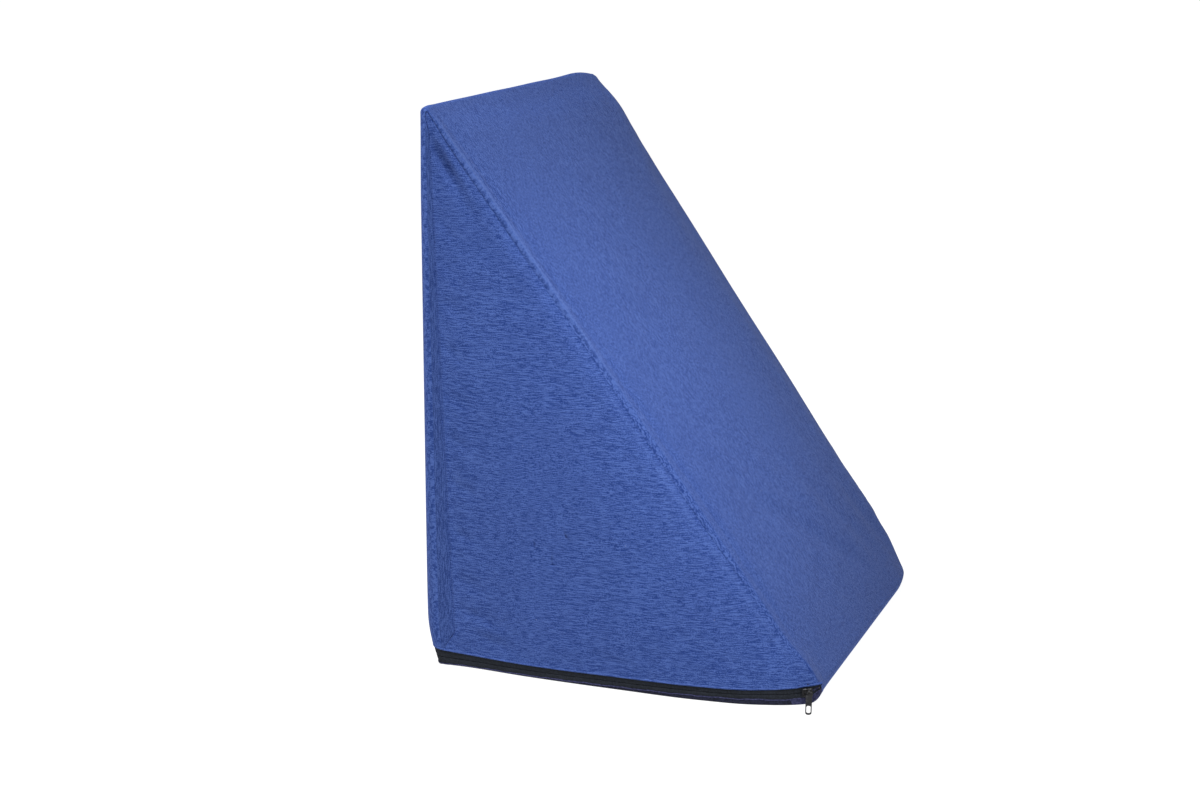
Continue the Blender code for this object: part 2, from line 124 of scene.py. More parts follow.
# The filled wedge isn't a true prism: where its corners settle, from where the sizes put them
CORNER_SHIFTS = (
    # across from near to far, corner, x, y, z
    (0, "toe", 0.008, 0.016, 0.000),
    (0, "ridge", -0.001, 0.001, -0.0045),
    (1, "toe", 0.002, -0.004, 0.000),
    (1, "ridge", 0.010, 0.002, 0.001),
)

# Fineness of the cushion's mesh: points round its outline and rings across it
LOOP_COUNTS = {"base": 80, "toe": 12, "slope": 150, "ridge": 10, "back": 124, "heel": 16}
WRAP_STEPS = 90
NEAR_TURN_STEPS = 5
NEAR_STRIP_STEPS = (0.75, 0.50, 0.25)
FAR_TURN_STEPS = 8

# The seam's turned-in cloth, which raises the wrap beside the near seam, and its uneven raw edge
ALLOWANCE = (
    # distance from the edge, share of the rise
    (0.0150, 0.00),
    (0.0115, 0.00),
    (0.0095, 0.06),
    (0.0084, 0.45),
    (0.0076, 0.92),
    (0.0066, 1.00),
    (0.0050, 0.85),
    (0.0030, 0.90),
    (0.0014, 1.00),
)
ALLOWANCE_RISE = 0.0011
ALLOWANCE_WOBBLE = (
    # turns along the panel, phase, share of the distance
    (13.0, 0.4, 0.07),
    (31.0, 2.1, 0.06),
    (57.0, 4.0, 0.05),
)

# The groove across a seam, which narrows where the seam lies close to the outline
SEAM_PROFILE = (
    # distance from the thread line, share of the groove
    (-0.0011, 0.00),
    (-0.0005, 0.50),
    (0.0000, 1.00),
    (0.0006, 0.62),
    (0.0013, 0.18),
    (0.0024, 0.00),
)
SEAM_GROOVE = 0.0010
FULL_WIDTH_AT = 0.0016
SEAM_CLEARANCE = 0.0001
FAR_SEAM = 0.0015

# The near seam up the slope: where it lies, and how plainly its line and folds show, as relief, as
# painted shade on the line and the raw edge, and as painted highlights on the folds
SLOPE_SEAM = (
    # share of the slope, thread line, fold on the slope, fold on the end panel, distance
    (0.00, 0.10, 0.00, 0.20, 0.0025),
    (0.08, 0.10, 0.00, 0.45, 0.0026),
    (0.16, 0.25, 0.10, 0.50, 0.0030),
    (0.20, 0.60, 0.10, 0.55, 0.0036),
    (0.33, 0.65, 0.15, 0.55, 0.0048),
    (0.42, 0.60, 0.20, 0.50, 0.0046),
    (0.52, 0.40, 0.40, 0.35, 0.0040),
    (0.60, 0.30, 0.80, 0.25, 0.0038),
    (0.72, 0.40, 1.00, 0.20, 0.0036),
    (0.86, 0.55, 1.00, 0.20, 0.0040),
    (0.91, 0.75, 1.00, 0.10, 0.0042),
    (0.96, 1.00, 0.80, 0.00, 0.0036),
    (1.00, 1.00, 0.20, 0.00, 0.0018),
)

# The seam down the back, as plain as this in its groove and its painted shade, and the soft fold
# beside the seam on the end panel
BACK_SEAM = 0.85
END_FOLD = 0.0036
END_FOLD_RISE = 0.0005

# Rings across the end panels: their distances from the seam, and the even inset that their paths
# ease into over a distance
NEAR_INSET = 0.012
FAR_INSET = 0.040
INSET_REACH = 0.060
PANEL_STEPS = (
    0.0038, 0.0056, 0.0076, 0.0098, 0.0122, 0.0148, 0.0176, 0.0205, 0.0235, 0.0266, 0.0298,
    0.0330, 0.0365, 0.0400, 0.0440, 0.0480, 0.0520, 0.0565, 0.0610, 0.0655, 0.0700, 0.0745,
    0.0790, 0.0830, 0.0870, 0.0905, 0.0935, 0.0960,
)
FAR_PANEL_STEPS = (0.004, 0.008, 0.014, 0.021, 0.029, 0.038, 0.047, 0.056, 0.064, 0.070)

# Zip band, rebate and tapes, as in the part's source
GAP = 0.0003
TAPE_THICKNESS = 0.0010
MEETING_SHARE = 0.46
HEEL_RUN_ON = 0.06
REBATE_DEPTH = 0.0019
REBATE_OVERRUN = 0.002
REBATE_TURN_OVERRUN = math.radians(8)
CUTTER_REACH = 0.004
BAND_START = DEPTH / 2 - 0.001
BAND_TURN = math.radians(80)
BAND_STEPS = 120
CORNER_STEPS = 14
SLIDER_PLACE = 0.1625
SLIDER_LENGTH = 0.0095
UPPER_AT_TOE = 0.0016
LOWER_AT_TOE = 0.0008

# Teeth: pitch, size and where the row starts and ends, and each one's stretch and lean
TOOTH_PITCH = 0.0018
TOOTH_RADIUS = 0.0007
TOOTH_START = 0.0012
TOOTH_END = 0.0030
TOOTH_SINK = 0.4
TOOTH_SHARE = 0.82
TOOTH_STRETCH = (0.62, 1.15, 1.35, 1.0)
TOOTH_LEAN = math.radians(18)

# Rolled edges of the cloth over and under the zip, with how far each lies above its line and
# behind the surface as shares of its radius, and where the base panel's rim starts
HEM_ROLL = 0.0010
HEM_LIFT = 0.4
HEM_SINK = 0.55
FOLD_ROLL = 0.0005
FOLD_LIFT = -0.3
FOLD_SINK = 0.5
FOLD_WAVES = (
    # turns per metre times two pi, phase, size
    (210, 0, 0.00020),
    (530, 1, 0.00015),
)
RIM_START = -WIDTH / 2 + 0.016


def eased(table, column, along):
    """A column of a table at places along it, with soft turns between its rows."""
    rows = np.array(table, float)
    place = np.clip(along, rows[0, 0], rows[-1, 0])
    step = np.clip(np.searchsorted(rows[:, 0], place) - 1, 0, len(rows) - 2)
    slopes = np.gradient(rows[:, column], rows[:, 0])
    span = rows[step + 1, 0] - rows[step, 0]
    t = (place - rows[step, 0]) / span
    return (
        rows[step, column] * (2 * t**3 - 3 * t**2 + 1)
        + slopes[step] * span * (t**3 - 2 * t**2 + t)
        + rows[step + 1, column] * (3 * t**2 - 2 * t**3)
        + slopes[step + 1] * span * (t**3 - t**2)
    )


def smooth(value):
    value = np.clip(value, 0.0, 1.0)
    return value * value * (3 - 2 * value)


def mixed(first, last, share):
    return first + (last - first) * share


class Section:
    """The wedge's rounded triangular section, inset by any distance from its outline."""

    def __init__(self):
        ridge_angle = math.atan2(DEPTH, HEIGHT)
        toe_angle = math.atan2(HEIGHT, DEPTH)
        ridge_over = (1 / math.tan(ridge_angle / 2) - 1) * RIDGE_RADIUS
        toe_over = (1 / math.tan(toe_angle / 2) - 1) * TOE_RADIUS
        self.corners = {
            "heel": np.array([-DEPTH / 2, 0.0]),
            "toe": np.array([DEPTH / 2 + toe_over, 0.0]),
            "ridge": np.array([-DEPTH / 2, HEIGHT + ridge_over]),
        }
        self.radii = {"heel": HEEL_RADIUS, "toe": TOE_RADIUS, "ridge": RIDGE_RADIUS}
        self.sides = {"base": ("heel", "toe"), "slope": ("toe", "ridge"), "back": ("ridge", "heel")}
        self.run = {}
        self.normal = {}
        for side, (start, end) in self.sides.items():
            run = self.corners[end] - self.corners[start]
            self.run[side] = run / np.linalg.norm(run)
            self.normal[side] = np.array([self.run[side][1], -self.run[side][0]])

    def arc(self, corner, inset):
        """Centres and radii of a corner's arc, and the sides before and after it."""
        before = next(side for side, ends in self.sides.items() if ends[1] == corner)
        after = next(side for side, ends in self.sides.items() if ends[0] == corner)
        half = math.acos(-self.run[before] @ self.run[after]) / 2
        inward = self.run[after] - self.run[before]
        inward = inward / np.linalg.norm(inward) / math.sin(half)
        fade = np.exp(-inset / self.radii[corner])
        radius = self.radii[corner] * fade + INNER_ROUNDING * inset * (1 - fade)
        return self.corners[corner] + inward * (inset + radius)[:, None], radius, before, after

    def points(self, stretch, t, inset):
        """Points at t, from 0 to 1, along a side or round a corner, and their outward normals."""
        if stretch in self.sides:
            start, end = self.sides[stretch]
            normal = self.normal[stretch]
            first_centre, first_radius, _, _ = self.arc(start, inset)
            last_centre, last_radius, _, _ = self.arc(end, inset)
            first = first_centre + normal * first_radius[:, None]
            last = last_centre + normal * last_radius[:, None]
            return mixed(first, last, t[:, None]), np.tile(normal, (len(t), 1))
        centre, radius, before, after = self.arc(stretch, inset)
        turn = math.acos(self.normal[before] @ self.normal[after])
        angle = math.atan2(self.normal[before][1], self.normal[before][0]) + turn * t
        normal = np.stack([np.cos(angle), np.sin(angle)], axis=1)
        return centre + normal * radius[:, None], normal


SECTION = Section()
STRETCH = np.array([name for name, count in LOOP_COUNTS.items() for _ in range(count)])
T = np.concatenate([np.arange(count) / count for count in LOOP_COUNTS.values()])
CROWN = np.select([STRETCH == "slope", STRETCH == "back"], [SLOPE_CROWN, BACK_CROWN], 0.0)
ON_SLOPE = STRETCH == "slope"
ON_BACK = STRETCH == "back"
ON_BASE = STRETCH == "base"


def along_end(x, z):
    """Share of the way from the back to the slope at a height, and the room left there."""
    room = np.clip(1 - z / HEIGHT, 0.02, 1.0)
    return np.clip((x + DEPTH / 2) / (DEPTH * room), 0.0, END_BULGE[-1][0]), room


def stands_out(x, z, near):
    """How far an end panel stands out from its flat plane."""
    along, room = along_end(x, z)
    near_out = eased(END_BULGE, 1, along) * room**1.5
    far_out = FAR_END_CROWN * 4 * along * np.maximum(1 - along, 0.0) * room
    return np.where(near, near_out, far_out)


def settled(x, z, depth, near):
    """Where points of the plain prism lie on the filled one, at a depth in from an end."""
    x, z, depth, near = (np.array(a) for a in np.broadcast_arrays(x, z, depth, near))
    middle = 1 - (1 - depth / (WIDTH / 2)) ** 2
    back_share = np.maximum(0.0, -2 * x / DEPTH) ** 6
    out = stands_out(x, z, near) * (1 - depth / (WIDTH / 2))
    z = z - RIDGE_DIP * middle * smooth((z / HEIGHT - 0.7) / 0.3)
    x = x + HEEL_TUCK * (1 - np.minimum(z / HEEL_TUCK_HEIGHT, 1)) ** 2 * back_share
    puff = TOE_PUFF * np.maximum(0.0, 1 - depth / TOE_PUFF_DEPTH) ** 2
    slope_x = DEPTH / 2 - TOE_PUFF_HEIGHT * DEPTH / HEIGHT
    away = np.hypot(x - slope_x, z - TOE_PUFF_HEIGHT)
    lost = FAR_TUCK * np.maximum(0.0, 1 - depth / FAR_TUCK_DEPTH) ** 2
    toe_share = smooth(1 - np.hypot(x - DEPTH / 2, z) / FAR_TUCK_REACH)
    ridge_share = smooth(1 - np.hypot(x + DEPTH / 2, z - HEIGHT) / FAR_TUCK_REACH)
    pinch = NEAR_PINCH * np.maximum(0.0, 1 - depth / NEAR_PINCH_DEPTH) ** 2
    pinch = pinch * smooth(1 - np.hypot(x + DEPTH / 2, z - HEIGHT) / NEAR_PINCH_REACH)
    x = x + np.where(near, puff * smooth(1 - away / TOE_PUFF_REACH), -lost * toe_share)
    z = z - np.where(near, pinch, lost * ridge_share)
    y = WIDTH / 2 - depth + out
    y = np.where(near, -y, y)
    across = np.clip(y / WIDTH + 0.5, 0.0, 1.0)
    shares = {"toe": (x + DEPTH / 2) / DEPTH, "ridge": z / HEIGHT}
    place = np.stack([x, y, z], axis=-1)
    for end, corner, *shift in CORNER_SHIFTS:
        share = shares[corner] * (across if end else 1 - across)
        place = place + np.array(shift) * share[..., None]
    return place


def edge_sizes(near):
    """Radius of the turn onto an end panel, and the seam's distance from the outline."""
    names = list(LOOP_COUNTS)
    corner_after = {"base": "toe start", "slope": "ridge start", "back": "heel start"}
    radius, seam = np.zeros(len(T)), np.zeros(len(T))
    for name in names:
        here = STRETCH == name
        following = names[(names.index(name) + 1) % len(names)]
        start = EDGES[name + " start"]
        end = EDGES[corner_after.get(name, following + " start")]
        share = T[here] if name in corner_after else smooth(T[here])
        if near:
            radius[here] = mixed(start[0], end[0], share)
            seam[here] = mixed(start[1], end[1], share)
            if name == "slope":
                seam[here] = eased(SLOPE_SEAM, 4, T[here])
        else:
            radius[here] = mixed(start[2], end[2], share)
            seam[here] = radius[here] + FAR_SEAM
    return radius, seam


def ring(inset, depth, near, rise=0.0):
    """One ring of the cover round the section."""
    inset = np.broadcast_to(inset, T.shape)
    place, normal = np.zeros((len(T), 2)), np.zeros((len(T), 2))
    for name in LOOP_COUNTS:
        here = STRETCH == name
        place[here], normal[here] = SECTION.points(name, T[here], inset[here])
    middle = 1 - (1 - depth / (WIDTH / 2)) ** 2
    out = CROWN * (1 - np.abs(2 * T - 1) ** CROWN_FLATNESS) * middle + rise
    return settled(place[:, 0] + normal[:, 0] * out, place[:, 1] + normal[:, 1] * out, depth, near)


class Rings:
    """Rings of points in order from the middle of the near end to the middle of the far end."""

    def __init__(self):
        self.points, self.kinds, self.from_seam = [], [], []

    def add(self, points, kind, from_seam):
        self.points.append(points)
        self.kinds.append(kind)
        self.from_seam.append(np.broadcast_to(from_seam, T.shape).copy())


def seam_strength(column):
    """A column of the seam's table at each point round the outline, with plain ends elsewhere."""
    elsewhere = BACK_SEAM if column == 1 else 0.0
    return np.where(ON_SLOPE, eased(SLOPE_SEAM, column, T), np.where(ON_BASE, 0.0, elsewhere))


def allowance_wobble():
    """How unevenly the seam's raw edges lie under the cover."""
    return sum(size * np.sin(turns * T + phase) for turns, phase, size in ALLOWANCE_WOBBLE)


def least_inset(radius, away):
    """The least inset of a seam's ring, so that its rings keep their order past the turn."""
    return radius + SEAM_CLEARANCE + (away - SEAM_PROFILE[0][0] + SEAM_CLEARANCE) * 0.1


def near_rings(rings):
    radius, seam = edge_sizes(True)
    width = np.minimum(1.0, seam / FULL_WIDTH_AT)
    end_fold = END_FOLD_RISE * seam_strength(3)
    for step in PANEL_STEPS[::-1]:
        inset = mixed(seam, NEAR_INSET, smooth(step / INSET_REACH)) + step
        out = end_fold * smooth(1 - abs(step - END_FOLD) / END_FOLD)
        rings.add(ring(inset, -out, True), "near panel", step)
    for away, share in SEAM_PROFILE[::-1]:
        inset = np.maximum(seam + away * width, least_inset(radius, away))
        sunk = SEAM_GROOVE * share * seam_strength(1)
        rings.add(ring(inset, sunk, True), "near panel" if away >= 0 else "strip", max(away, 0.0))
    for share in NEAR_STRIP_STEPS:
        inset = mixed(radius, np.maximum(seam + SEAM_PROFILE[0][0] * width, radius), share)
        rings.add(ring(inset, 0.0, True), "strip", 0.0)
    rise = ALLOWANCE_RISE * smooth(6 * T) * smooth(6 * (1 - T) + 0.2) * (ON_SLOPE + 0.6 * ON_BACK)
    wobble = allowance_wobble()
    distances, shares = np.array(ALLOWANCE[::-1]).T
    for turn in range(NEAR_TURN_STEPS, -1, -1):
        angle = math.pi / 2 * turn / NEAR_TURN_STEPS
        inset = radius * (1 - math.cos(angle))
        share = 0.0 if turn == NEAR_TURN_STEPS else 1.0
        depth = radius * (1 - math.sin(angle))
        rings.add(ring(inset, depth, True, rise * share), "wrap", 0.0)
    for away in distances:
        share = np.interp(away * (1 + wobble), distances, shares)
        rings.add(ring(0.0, radius + away, True, rise * share), "wrap", away)


def far_rings(rings):
    radius, seam = edge_sizes(False)
    for turn in range(FAR_TURN_STEPS + 1):
        angle = math.pi / 2 * turn / FAR_TURN_STEPS
        inset = radius * (1 - math.cos(angle))
        rings.add(ring(inset, radius * (1 - math.sin(angle)), False), "wrap", -1.0)
    for away, share in SEAM_PROFILE:
        inset = np.maximum(seam + away, least_inset(radius, away))
        sunk = np.where(ON_BASE, 0.0, SEAM_GROOVE * share)
        rings.add(ring(inset, sunk, False), "far panel", max(away, 0.0))
    for step in FAR_PANEL_STEPS:
        inset = mixed(seam, FAR_INSET, smooth(step / INSET_REACH)) + step
        rings.add(ring(inset, 0.0, False), "far panel", step)


def wrap_rings(first, last):
    """Rings across the width, between the ends' own rings."""
    made = []
    for step in range(1, WRAP_STEPS):
        y = mixed(first[:, 1], last[:, 1], step / WRAP_STEPS)
        points = ring(0.0, WIDTH / 2 - np.abs(y), y < 0)
        points[:, 1] = y
        made.append(points)
    return made


def all_rings():
    rings = Rings()
    near_rings(rings)
    ends = Rings()
    far_rings(ends)
    first = rings.points[-1]
    for points in wrap_rings(first, ends.points[0]):
        from_seam = np.abs(points[:, 1] - first[:, 1]) + ALLOWANCE[0][0]
        rings.add(points, "wrap", from_seam)
    for points, kind, from_seam in zip(ends.points, ends.kinds, ends.from_seam):
        rings.add(points, kind, from_seam)
    return rings


def mesh_object(name, vertices, faces):
    mesh = bpy.data.meshes.new(name)
    mesh.from_pydata([tuple(point) for point in vertices], [], faces)
    mesh.update()
    obj = bpy.data.objects.new(name, mesh)
    bpy.context.scene.collection.objects.link(obj)
    return obj


def tube_faces(rows, around):
    """Quads of a tube through rows of points, open at both ends."""
    faces = []
    for row in range(rows - 1):
        for index in range(around):
            a = row * around + index
            b = row * around + (index + 1) % around
            faces.append((a, a + around, b + around, b))
    return faces


def coordinates(mesh):
    values = np.empty(len(mesh.vertices) * 3)
    mesh.vertices.foreach_get("co", values)
    return values.reshape(-1, 3)


def set_coordinates(mesh, points):
    mesh.vertices.foreach_set("co", np.asarray(points, float).ravel())
    mesh.update()


def search_tree(points):
    tree = KDTree(len(points))
    for index, point in enumerate(points):
        tree.insert(point, index)
    tree.balance()
    return tree


def normals(mesh):
    values = np.empty(len(mesh.vertices) * 3)
    mesh.vertex_normals.foreach_get("vector", values)
    return values.reshape(-1, 3)


SLOTS = {"end": 0, "slope": 1, "back": 2, "base": 3, "fold": 4, "strip": 5}


def cushion_mesh(rings):
    """The closed cover, with a material slot for the run of the cloth on each panel."""
    around, count = len(T), len(rings.points)
    vertices = np.vstack(rings.points + [rings.points[0].mean(axis=0), rings.points[-1].mean(axis=0)])
    faces, slots = tube_faces(count, around), []
    wrap_slot = {"base": "base", "toe": "slope", "slope": "slope", "ridge": "slope", "back": "back"}
    for row in range(count - 1):
        kinds = rings.kinds[row], rings.kinds[row + 1]
        for index in range(around):
            slot = wrap_slot.get(STRETCH[index], "back")
            if "near panel" in kinds or "far panel" in kinds:
                slot = "end"
            elif "strip" in kinds and slot == "back":
                slot = "strip"
            slots.append(SLOTS[slot])
    last = (count - 1) * around
    for index in range(around):
        following = (index + 1) % around
        faces.append((count * around, index, following))
        faces.append((count * around + 1, last + following, last + index))
        slots += [SLOTS["end"], SLOTS["end"]]
    obj = mesh_object("cushion_cover", vertices, faces)
    set_material(obj, *cover_cloths())
    set_slots(obj, slots)
    return obj


# Soft forms of the near end panel: troughs, or ridges where the depth is negative
END_TROUGHS = (
    # x, z, degrees below level, half length, width, depth
    (-0.1505, 0.4435, 57, 0.036, 0.0045, 0.0060),
    (-0.1300, 0.4080, 50, 0.026, 0.0060, 0.0014),
    (-0.1440, 0.4475, 57, 0.032, 0.0035, -0.0012),
    (-0.1520, 0.3940, 33, 0.018, 0.0050, 0.0013),
    (-0.1480, 0.3565, 27, 0.020, 0.0050, 0.0013),
    (-0.1410, 0.3215, 25, 0.026, 0.0055, 0.0014),
    (-0.1430, 0.2830, 29, 0.020, 0.0050, 0.0010),
    (-0.1400, 0.2415, 15, 0.022, 0.0055, 0.0010),
    (-0.1420, 0.2050, 20, 0.018, 0.0050, 0.0008),
    (-0.1360, 0.1635, 22, 0.022, 0.0055, 0.0010),
    (-0.1365, 0.1205, 16, 0.020, 0.0050, 0.0010),
    (-0.1320, 0.0775, 21, 0.022, 0.0055, 0.0009),
    (-0.1230, 0.0490, 14, 0.034, 0.0045, 0.0013),
    (-0.1080, 0.0285, 18, 0.030, 0.0040, 0.0010),
    (-0.1160, 0.0390, 16, 0.030, 0.0035, -0.0008),
    (0.0070, 0.0260, 8, 0.034, 0.0045, 0.0008),
)


def end_forms(points):
    """How far the near end panel's soft folds push each point out."""
    out = np.zeros(len(points))
    for x, z, below, length, width, depth in END_TROUGHS:
        angle = math.radians(below)
        dx, dz = points[:, 0] - x, points[:, 2] - z
        along = dx * math.cos(angle) - dz * math.sin(angle)
        across = dx * math.sin(angle) + dz * math.cos(angle)
        out -= depth * np.exp(-((across / width) ** 2)) * smooth(1 - np.abs(along) / length)
    return out


def waves(points, rows):
    """A slow unevenness of filled cloth from a few crossing waves."""
    out = np.zeros(len(points))
    for kx, ky, kz, phase, size in rows:
        out += size * np.sin(points @ np.array([kx, ky, kz]) + phase)
    return out


COVER_WAVES = (
    # turns per metre times two pi along x, y and z, phase, size
    (31.0, 23.0, 17.0, 0.3, 0.00022),
    (-19.0, 37.0, 29.0, 1.7, 0.00018),
    (47.0, -31.0, 11.0, 2.9, 0.00014),
    (13.0, 61.0, -43.0, 4.1, 0.00010),
)

# Marks along the seams, for the cloth's colour: painted shade on the sewn line and the allowance's
# raw edge, and painted highlights on the folds and the hem; where each line lies and its half width
SEAM_SHADE_MARK = 0.0008
RAW_EDGE = 0.0080
RAW_EDGE_SHADE_MARK = 0.0014
RAW_EDGE_SHADE_STRENGTH = 0.35
SLOPE_FOLD = 0.0010
SLOPE_FOLD_HIGHLIGHT_MARK = 0.0045
END_FOLD_HIGHLIGHT_MARK = 0.0028
HEM_HIGHLIGHT_MARK = 0.0010
HEM_HIGHLIGHT_STRENGTH = 0.7

# The cloth's simulation, on a remeshed copy of the cover drawn in by SHRINK and held at its seams
# and along the floor
VOXEL = 0.0065
SHRINK = 0.0020
HELD_REACH = 0.010
HELD_HEIGHT = 0.006
FRAMES = 20
MOVE_CAP = 0.0060
CLOTH_SETTINGS = {
    "quality": 5,
    "mass": 0.3,
    "tension_stiffness": 60,
    "compression_stiffness": 60,
    "shear_stiffness": 30,
    "bending_stiffness": 2.0,
    "use_pressure": True,
    "uniform_pressure_force": 4.0,
    "vertex_group_mass": "held",
}

# How the simulated moves are carried over: from how many points, how much of their lift, and the
# distances over which it fades out near the floor, the ridge, the toe and the seams
NEAREST_COUNT = 5
NEAREST_SOFTNESS = 0.001
LIFT_SHARE = 0.5
FLOOR_START = 0.004
FLOOR_WINDOW = 0.030
EDGE_WINDOW = 0.035
SEAM_WINDOW = 0.020
FORMS_WINDOW = 0.006
MIDDLE_FROM_SEAM = 0.1


def swell(cover, held):
    """Blows up a remeshed copy of the cover as cloth and returns its points and their moves."""
    body = bpy.data.objects.new("swell", cover.data.copy())
    bpy.context.scene.collection.objects.link(body)
    remesh = body.modifiers.new("Remesh", "REMESH")
    remesh.mode = "VOXEL"
    remesh.voxel_size = VOXEL
    bpy.context.view_layer.update()
    shape = body.evaluated_get(bpy.context.evaluated_depsgraph_get())
    mesh = bpy.data.meshes.new_from_object(shape)
    body.modifiers.clear()
    body.data = mesh
    start = coordinates(mesh) - normals(mesh) * SHRINK
    set_coordinates(mesh, start)
    tree = search_tree(held)
    group = body.vertex_groups.new(name="held")
    for index, point in enumerate(start):
        near = tree.find(point)[2]
        weight = max(1 - near / HELD_REACH, 1.0 if point[2] < HELD_HEIGHT else 0.0, 0.0)
        if weight > 0:
            group.add([index], weight, "REPLACE")
    cloth = body.modifiers.new("Cloth", "CLOTH")
    for name, value in CLOTH_SETTINGS.items():
        setattr(cloth.settings, name, value)
    cloth.settings.effector_weights.gravity = 0.0
    cloth.collision_settings.use_collision = False
    cloth.point_cache.frame_start = 1
    cloth.point_cache.frame_end = FRAMES
    scene = bpy.context.scene
    for number in range(1, FRAMES + 1):
        scene.frame_set(number)
    shape = body.evaluated_get(bpy.context.evaluated_depsgraph_get())
    moved = coordinates(shape.data) - start
    scene.frame_set(1)
    bpy.data.objects.remove(body, do_unlink=True)
    reach = np.linalg.norm(moved, axis=1)
    capped = MOVE_CAP * np.tanh(reach / MOVE_CAP)
    return start, moved * (capped / np.maximum(reach, 1e-9))[:, None]


def transfer(start, moved, points):
    """The simulated moves at other points, from the nearest simulated ones."""
    tree = search_tree(start)
    out = np.zeros((len(points), 3))
    for row, point in enumerate(points):
        found = tree.find_n(point, NEAREST_COUNT)
        weights = np.array([1 / (distance + NEAREST_SOFTNESS) ** 2 for _, _, distance in found])
        out[row] = weights @ moved[[index for _, index, _ in found]] / weights.sum()
    return out


def dress_cover(cover, rings):
    """Settles the cover by simulation, then adds the folds that the seams pull into it."""
    kinds = np.repeat(rings.kinds, len(T))
    kinds = np.append(kinds, ["near panel", "far panel"])
    from_seam = np.append(np.concatenate(rings.from_seam), [MIDDLE_FROM_SEAM] * 2)
    points = coordinates(cover.data)
    away = normals(cover.data)
    near_panel = kinds == "near panel"
    floor = smooth((points[:, 2] - FLOOR_START) / FLOOR_WINDOW)
    edges = smooth((HEIGHT - points[:, 2]) / EDGE_WINDOW)
    edges = edges * smooth((DEPTH / 2 - points[:, 0]) / EDGE_WINDOW)
    seam_window = smooth(np.abs(from_seam) / SEAM_WINDOW)
    edge = rings.kinds.index("wrap")
    far_edge = len(rings.kinds) - 1 - rings.kinds[::-1].index("wrap")
    held = np.vstack([rings.points[edge], rings.points[far_edge]])
    start, moved = swell(cover, held)
    moves = transfer(start, moved, points - away * SHRINK)
    lift = (moves * away).sum(axis=1)
    points = points + away * (lift * LIFT_SHARE * seam_window * floor * edges)[:, None]
    out = waves(points, COVER_WAVES) * seam_window * floor
    out += np.where(near_panel, end_forms(points) * smooth(from_seam / FORMS_WINDOW), 0.0)
    set_coordinates(cover.data, points + away * out[:, None])


def mark(obj, name, *lines):
    """A value at each point of a mesh that falls from each line's own strength to nothing."""
    values = np.zeros(len(obj.data.vertices))
    places = coordinates(obj.data)
    for points, strengths, width in lines:
        tree = search_tree(points)
        for row, place in enumerate(places):
            _, index, distance = tree.find(place)
            if distance < width:
                values[row] = max(values[row], strengths[index] * (1 - distance / width))
    attribute = obj.data.attributes.new(name, "FLOAT", "POINT")
    attribute.data.foreach_set("value", values)


def mark_seams(cover, hem_line):
    """Marks painted shade on the sewn line round the near end and on the allowance's raw edge, and
    painted highlights on the rounded folds beside it and over the zip.
    """
    radius, seam = edge_sizes(True)
    sewn = ring(np.maximum(seam, radius + SEAM_CLEARANCE), 0.0, True)
    on_slope = ring(0.0, radius + SLOPE_FOLD, True, ALLOWANCE_RISE * ON_SLOPE)
    on_end = ring(seam + END_FOLD, 0.0, True)
    keep = ~ON_BASE
    raw_edge = ring(0.0, radius + RAW_EDGE / (1 + allowance_wobble()), True)
    raw_edge_shade_strength = RAW_EDGE_SHADE_STRENGTH * seam_strength(2)
    # Painted shade along the sewn line's groove and along the allowance's raw edge
    mark(
        cover,
        "seam",
        (sewn[keep], seam_strength(1)[keep], SEAM_SHADE_MARK),
        (raw_edge[ON_SLOPE], raw_edge_shade_strength[ON_SLOPE], RAW_EDGE_SHADE_MARK),
    )
    # Painted highlights along the rounded folds beside the near seam and along the hem
    mark(
        cover,
        "painted_highlight",
        (on_slope[ON_SLOPE], seam_strength(2)[ON_SLOPE], SLOPE_FOLD_HIGHLIGHT_MARK),
        (on_end[ON_SLOPE], seam_strength(3)[ON_SLOPE], END_FOLD_HIGHLIGHT_MARK),
        (hem_line, np.full(len(hem_line), HEM_HIGHLIGHT_STRENGTH), HEM_HIGHLIGHT_MARK),
    )


def band_edges(x):
    """Heights of the fold and the hem at places along the near end."""
    along = x / DEPTH + 0.5
    return eased(ZIP_BAND, 1, along), eased(ZIP_BAND, 2, along)


def band_path():
    """x and turn along the zip from the toe to the heel and round its upright edge."""
    corner = EDGES["heel start"][0]
    end = -DEPTH / 2 + corner
    x = np.concatenate([np.linspace(BAND_START, end, BAND_STEPS + 1), np.full(CORNER_STEPS, end)])
    turn = np.zeros(BAND_STEPS + 1)
    turn = np.concatenate([turn, BAND_TURN * np.arange(1, CORNER_STEPS + 1) / CORNER_STEPS])
    return x, turn


def band_points(x, turn, height, depth):
    """Points of the zip band, at a depth behind the cover's surface."""
    corner = EDGES["heel start"][0]
    reach = corner - depth
    inwards = np.where(turn == 0, depth, corner - reach * np.cos(turn))
    return settled(x - reach * np.sin(turn), height, inwards, True)


def strip(name, x, turn, low, high, profile):
    """A closed strip along the band: the profile's rows are share of the height and depth."""
    rows = [band_points(x, turn, mixed(low, high, share), depth) for share, depth in profile]
    around, last = len(profile), (len(x) - 1) * len(profile)
    faces = tube_faces(len(x), around)
    faces.append(tuple(range(around)))
    faces.append(tuple(range(last, last + around))[::-1])
    return mesh_object(name, np.stack(rows, axis=1).reshape(-1, 3), faces)


def edges_at(x, turn):
    """Heights of the band's edges, running on round the heel as if it were straight."""
    return band_edges(x - HEEL_RUN_ON * turn * DEPTH)


def cut(target, cutter):
    """Takes one closed shape away from another."""
    modifier = target.modifiers.new("Cut", "BOOLEAN")
    modifier.operation = "DIFFERENCE"
    modifier.solver = "EXACT"
    modifier.object = cutter
    bpy.context.view_layer.update()
    shape = target.evaluated_get(bpy.context.evaluated_depsgraph_get())
    mesh = bpy.data.meshes.new_from_object(shape)
    target.modifiers.clear()
    target.data = mesh
    bpy.data.objects.remove(cutter, do_unlink=True)


